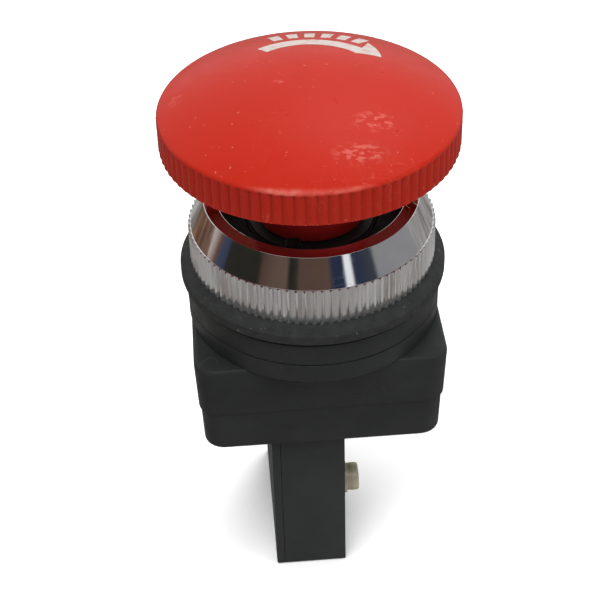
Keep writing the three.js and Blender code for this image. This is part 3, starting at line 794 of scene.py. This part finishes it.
def lower_housing():
    half_x, half_y = HALF_X - LOWER_INSET, HALF_Y - LOWER_INSET
    draft = 0.2
    levels = edge_levels(half_x - draft, half_y - draft, CORNER_R, HOUSING_LOW, 0.55, -1)
    levels.append((half_x, half_y, CORNER_R, PARTING))
    shell = lofted("lower_housing_fine", levels)
    combine(shell, housing_cavity(FLOOR_HIGH, PARTING + 1), "DIFFERENCE")
    for side in (-1, 1):
        at = (side * SCREW_X, side * SCREW_Y)
        combine(shell, cylinder(POST_R, FLOOR_HIGH - 0.5, PARTING, at), "UNION")
        combine(shell, cylinder(SCREW_PASSAGE, HOUSING_LOW - 1, PARTING + 1, at), "DIFFERENCE")
        combine(shell, cylinder(SINK_R, HOUSING_LOW - 1, HOUSING_LOW + SINK_DEPTH, at), "DIFFERENCE")
        screw_at = (BLOCK_X, side * BLOCK_SCREW_Y)
        combine(shell, cylinder(BLOCK_SCREW_BORE, HOUSING_LOW - 1, PARTING, screw_at), "DIFFERENCE")
    combine(shell, cylinder(PLUNGER_HOLE_R, HOUSING_LOW - 1, PARTING, (BLOCK_X, 0)), "DIFFERENCE")
    left = BLOCK_X + BLOCK_HALF_X + 0.1
    right = left + 2 * BLOCK_HALF_X
    low = (left, -BAY_HALF_Y, HOUSING_LOW - 1)
    high = (right, BAY_HALF_Y, HOUSING_LOW + BAY_DEPTH)
    return combine(shell, soft_block("tool", low, high, 0.3, 0.05), "DIFFERENCE")


# ---------------------------------------------------------------- contact block
def contact_case():
    left = BLOCK_X - BLOCK_HALF_X + COVER_WALL
    right = BLOCK_X + BLOCK_HALF_X
    low, high = (left, -BLOCK_HALF_Y, BLOCK_LOW), (right, BLOCK_HALF_Y, HOUSING_LOW)
    case = soft_block("contact_case_fine", low, high, 0.12, 0.12)
    hollow = soft_block(
        "tool",
        (left - 1, BLOCK_WALL - BLOCK_HALF_Y, BLOCK_LOW + BLOCK_WALL),
        (right - BLOCK_WALL, BLOCK_HALF_Y - BLOCK_WALL, HOUSING_LOW - CASE_ROOF),
        0.3, 0.05,
    )
    combine(case, hollow, "DIFFERENCE")
    roof_low = HOUSING_LOW - CASE_ROOF
    combine(case, cylinder(PLUNGER_HOLE_R, roof_low - 1, HOUSING_LOW + 1, (BLOCK_X, 0)), "DIFFERENCE")
    for side in (-1, 1):
        hole = along_x(cylinder(TERMINAL_BORE, 3, 7), 1, (BLOCK_X, side * TERMINAL_Y, TERMINAL_Z))
        combine(case, hole, "DIFFERENCE")
        screw_at = (BLOCK_X, side * BLOCK_SCREW_Y)
        combine(case, cylinder(BLOCK_SCREW_BORE, roof_low - 1, HOUSING_LOW + 1, screw_at), "DIFFERENCE")
    return case


def contact_cover():
    left = BLOCK_X - BLOCK_HALF_X
    inner = left + COVER_WALL - 0.01
    clear = BLOCK_WALL + 0.1
    low, high = (left, -BLOCK_HALF_Y, BLOCK_LOW), (inner, BLOCK_HALF_Y, HOUSING_LOW)
    plate = soft_block("contact_cover_fine", low, high, 0.12, 0.12)
    lip = soft_block(
        "tool",
        (inner - 0.3, clear - BLOCK_HALF_Y, BLOCK_LOW + clear),
        (inner + 0.6, BLOCK_HALF_Y - clear, HOUSING_LOW - CASE_ROOF - 0.1),
        0.1, 0.1,
    )
    return combine(plate, lip, "UNION")


def pan_screw(name, head_r, low, high, shank_r, shank_low):
    """A screw pointing down, with a domed head and a cross slot."""
    waist = low + 0.45 * (high - low)
    body = turned(name, [(0, shank_low)] + rounded([
        (shank_r, shank_low, 0.2), (shank_r, low, 0), (head_r - 0.08, low, 0.1), (head_r, waist, 0.2),
        (head_r - 0.08, high, 0.35), (0, high + 0.02, 0),
    ], 0.1), 64)
    slot = 0.16 * head_r
    reach = 0.75 * head_r
    depth = 0.45 * (high - low)
    for half_x, half_y in ((reach, slot), (slot, reach)):
        cut = soft_block("tool", (-half_x, -half_y, high - depth), (half_x, half_y, high + 1), 0.05, 0.03)
        combine(body, cut, "DIFFERENCE")
    return body


def terminal_screw(name, side):
    upright = pan_screw(name, TERMINAL_R, WASHER, TERMINAL_OUT, SCREW_R, -TERMINAL_TIP)
    return along_x(upright, 1, (BLOCK_X + BLOCK_HALF_X, side * TERMINAL_Y, TERMINAL_Z))


def terminal_washer(name, side):
    outer = TERMINAL_R + 0.3
    flat = turned(name, rounded([
        (WASHER_BORE, 0), (outer, 0), (outer, WASHER), (WASHER_BORE, WASHER),
    ], 0.1), 64)
    return along_x(flat, 1, (BLOCK_X + BLOCK_HALF_X, side * TERMINAL_Y, TERMINAL_Z))


def housing_screw(name, side):
    upright = pan_screw(
        name, SCREW_HEAD_R, -SINK_DEPTH, SCREW_HEAD - SINK_DEPTH, SCREW_R, -SCREW_TIP,
    )
    lift = Vector((0, 0, LIFT * MM))
    upright.data.transform(Matrix.Translation(-lift))
    upright.data.transform(Matrix.Rotation(math.pi, 4, "X"))
    upright.data.transform(Matrix.Translation(place((side * SCREW_X, side * SCREW_Y, HOUSING_LOW))))
    return upright


def build_head():
    add(mushroom_cap(), "head", "red_plastic", "mushroom_cap")
    for mark in (*arrow_pieces(), *print_marks()):
        add(mark, "head", "white_ink")
    add(turn_sleeve(), "head", "dark_red_plastic", "turn_sleeve")


def build_stem():
    add(push_stem(), "plunger", "grey_plastic", "push_stem")
    add(stem_seal(), "plunger", "rubber", "stem_seal")
    low, high = CLIP_HIGH + RESET_WIRE + 0.05, BOSS_LOW - RESET_WIRE - 0.1
    spring = coil("reset_spring_fine", RESET_R, RESET_WIRE, low, high, turns=5)
    add(spring, "plunger", "spring_steel", "reset_spring")
    low, high = GUIDE_HIGH + RETURN_WIRE + 0.02, STEM_FLANGE_LOW - RETURN_WIRE - 0.02
    spring = coil("return_spring_fine", RETURN_R, RETURN_WIRE, low, high, turns=4)
    add(spring, "housing", "spring_steel", "return_spring")
    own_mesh(spring)


def build_housing():
    # The barrel takes the darkened black plastic: painted shade under the cap.
    finish_piece(operator_barrel(), "housing", "black_plastic", LOOKS["barrel_plastic_painted_shade"], "operator_barrel")
    add(bezel_ring(), "housing", "chrome", "bezel_ring")
    add(gasket(), "housing", "rubber", "gasket")
    add(spacer_ring(), "housing", "black_plastic", "spacer_ring")
    add(upper_housing(), "housing", "black_plastic", "upper_housing")
    add(lower_housing(), "housing", "black_plastic", "lower_housing")
    for name, side in (("left", -1), ("right", 1)):
        node = f"housing_screw_{name}"
        add(housing_screw(f"{node}_fine", side), "housing", "zinc_steel", node)


def build_contact_block():
    for piece, node in ((contact_case(), "contact_case"), (contact_cover(), "contact_cover")):
        finish_piece(piece, "housing", "black_plastic", LOOKS["block_plastic"], node)
    for name, side in (("front", -1), ("rear", 1)):
        for node, build in (("terminal_screw", terminal_screw), ("terminal_washer", terminal_washer)):
            add(build(f"{node}_{name}_fine", side), "housing", "zinc_steel", f"{node}_{name}")
    seat = BLOCK_LOW + BLOCK_WALL
    low, high = seat + CONTACT_WIRE + 0.02, BRIDGE_Z - 1.67
    spring = coil("contact_spring_fine", CONTACT_R, CONTACT_WIRE, low, high, turns=7)
    spring.data.transform(Matrix.Translation((BLOCK_X * MM, 0, 0)))
    add(spring, "housing", "spring_steel", "contact_spring")
    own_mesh(spring)


def dress_frame():
    """The CAD nodes that stay in view take the procedural material of their slot."""
    for part in frame["record"]["subparts"]:
        node = frame["nodes"][part["node"]]
        node.data.materials.clear()
        node.data.materials.append(LOOKS[part["material_slot"]])


dress_frame()
build_head()
build_stem()
build_housing()
build_contact_block()


# ---------------------------------------------------------------- studio
def floor():
    """White to the camera; mirrors and bounced light meet a dimmer, mottled bench."""
    look = Look("studio_floor", Roughness=1.0, Specular_IOR_Level=0.0)
    path = look.node("LightPath")
    pale = look.ramp(look.noise(0.01), [(0.3, 0.93), (0.7, 0.95)])
    look.set("Base Color", look.mix(path.outputs["Is Camera Ray"], (0.38, 0.37, 0.36), pale))
    near = look.ramp(look.noise(0.02, detail=6), [
        (0.36, (0.16, 0.13, 0.12)), (0.48, (0.3, 0.29, 0.28)), (0.62, (0.42, 0.42, 0.41)),
    ])
    left = look.ramp(look.noise(0.012, detail=6), [
        (0.36, (0.05, 0.03, 0.025)), (0.5, (0.15, 0.08, 0.055)), (0.6, (0.3, 0.17, 0.12)),
    ])
    leftwards = look.maths("MULTIPLY", look.parts(look.space)[0], -1)
    far_left = look.ramp(leftwards, [(0.09, 0.0), (0.18, 1.0)])
    mottle = look.mix(far_left, near, left)
    bench = look.node("Emission")
    look.link(mottle, bench.inputs["Color"])
    choice = look.node("MixShader")
    look.link(path.outputs["Is Glossy Ray"], choice.inputs[0])
    look.link(look.shader.outputs[0], choice.inputs[1])
    look.link(bench.outputs[0], choice.inputs[2])
    look.link(choice.outputs[0], look.tree.nodes["Material Output"].inputs["Surface"])
    side = 3.0
    mesh = bpy.data.meshes.new("floor")
    corners = [(-side, -side, 0), (side, -side, 0), (side, side, 0), (-side, side, 0)]
    mesh.from_pydata(corners, [], [(0, 1, 2, 3)])
    mesh.materials.append(look.material)
    plane = bpy.data.objects.new("floor", mesh)
    plane.location.z = -0.2 * MM
    bpy.context.scene.collection.objects.link(plane)


# What mirrors see at eye level: degrees to the right of the camera's side, and the colour there.
SURROUNDINGS = [
    (-180, (0.9, 0.9, 0.9)), (-172, (0.6, 0.55, 0.5)), (-166, (0.15, 0.08, 0.05)),
    (-146, (0.26, 0.15, 0.10)), (-130, (0.11, 0.055, 0.04)), (-116, (0.24, 0.12, 0.07)),
    (-103, (0.13, 0.065, 0.045)), (-100, (0.05, 0.06, 0.10)), (-93, (0.04, 0.05, 0.09)),
    (-90, (0.024, 0.022, 0.018)), (-59, (0.020, 0.019, 0.015)), (-55, (0.085, 0.05, 0.04)),
    (-45, (0.11, 0.07, 0.055)), (-33, (0.12, 0.08, 0.065)), (-30, (0.015, 0.015, 0.015)),
    (-24, (0.03, 0.025, 0.02)), (-21, (0.09, 0.055, 0.045)), (5, (0.10, 0.06, 0.045)),
    (9, (0.02, 0.028, 0.06)), (19, (0.02, 0.028, 0.06)), (21, (0.85, 0.86, 0.9)),
    (26, (0.85, 0.86, 0.9)), (28, (0.02, 0.028, 0.06)), (47, (0.042, 0.048, 0.06)),
    (50, (0.25, 0.25, 0.26)), (118, (0.28, 0.28, 0.29)), (124, (0.9, 0.9, 0.9)),
]
ROOM_TURN = -5  # degrees that line the surroundings up with the reflections on the bezel


def world():
    """Even white light, with a darker room for mirrors and gloss to pick up."""
    room = bpy.data.worlds.new("studio")
    bpy.context.scene.world = room
    room.use_nodes = True
    kit = Nodes(room.node_tree)
    x, y, height = kit.parts(kit.node("TexCoord").outputs["Generated"])
    backwards = kit.maths("MULTIPLY", y, -1)
    turn = kit.maths("ADD", kit.maths("ARCTAN2", x, backwards), math.radians(ROOM_TURN))
    share = kit.maths("MULTIPLY_ADD", turn, 1 / (2 * math.pi), 0.5)
    side = kit.ramp(share, [(0.5 + degrees / 360, colour) for degrees, colour in SURROUNDINGS])
    overhead = kit.ramp(height, [(0.0, 0.0), (0.52, 0.0), (0.66, 1.0)])
    behind = kit.ramp(y, [(0.15, 0.0), (0.45, 1.0)])
    eye_level = kit.mix(behind, side, (0.75, 0.75, 0.75))
    above = kit.maths("MULTIPLY", overhead, kit.maths("SUBTRACT", 1.0, behind))
    dim = kit.mix(above, eye_level, (0.07, 0.07, 0.072))
    # A window high in front, which only the rounded edges catch.
    high = kit.ramp(height, [(0.70, 0.0), (0.76, 1.0), (0.93, 1.0), (0.97, 0.0)])
    window = kit.maths("MULTIPLY", high, kit.ramp(backwards, [(0.15, 0.0), (0.3, 1.0)]))
    mirrored = kit.mix(window, dim, (1.0, 1.0, 1.0))
    soft = kit.ramp(height, [(0.0, 0.45), (0.9, 1.0)])
    path = kit.node("LightPath")
    seen = kit.mix(path.outputs["Is Glossy Ray"], soft, mirrored)
    background = room.node_tree.nodes["Background"]
    kit.link(kit.mix(path.outputs["Is Camera Ray"], seen, (1.0, 1.0, 1.0)), background.inputs["Color"])
    background.inputs["Strength"].default_value = 1.0


def area_light(name, at, size, power):
    lamp = bpy.data.lights.new(name, "AREA")
    lamp.shape = "DISK"
    lamp.size = size
    lamp.energy = power
    shown = bpy.data.objects.new(name, lamp)
    shown.visible_glossy = False
    shown.location = at
    aim = place((0, 0, 0)) - Vector(at)
    shown.rotation_mode = "QUATERNION"
    shown.rotation_quaternion = aim.to_track_quat("-Z", "Y")
    bpy.context.scene.collection.objects.link(shown)


CAMERA_AT = (-12.13, -172.72, 132.94)
CAMERA_AIM = (-1.94, 0, -7.04)
CAMERA_ROLL = -1.745  # degrees
LENS = 93.29


def camera():
    data = bpy.data.cameras.new("camera")
    data.lens = LENS
    data.clip_start = 0.01
    eye = bpy.data.objects.new("camera", data)
    eye.location = place(CAMERA_AT)
    aim = place(CAMERA_AIM) - eye.location
    eye.rotation_mode = "QUATERNION"
    roll = Matrix.Rotation(math.radians(CAMERA_ROLL), 4, "Z").to_quaternion()
    eye.rotation_quaternion = aim.to_track_quat("-Z", "Y") @ roll
    bpy.context.scene.collection.objects.link(eye)
    bpy.context.scene.camera = eye


floor()
world()
area_light("key", (-0.12, -0.22, 0.6), 0.35, 2.4)
area_light("fill", (0.5, -0.35, 0.16), 0.4, 1.3)
area_light("top", (0.15, 0.3, 0.6), 0.4, 2.4)
camera()
bpy.context.scene.view_settings.view_transform = "Standard"
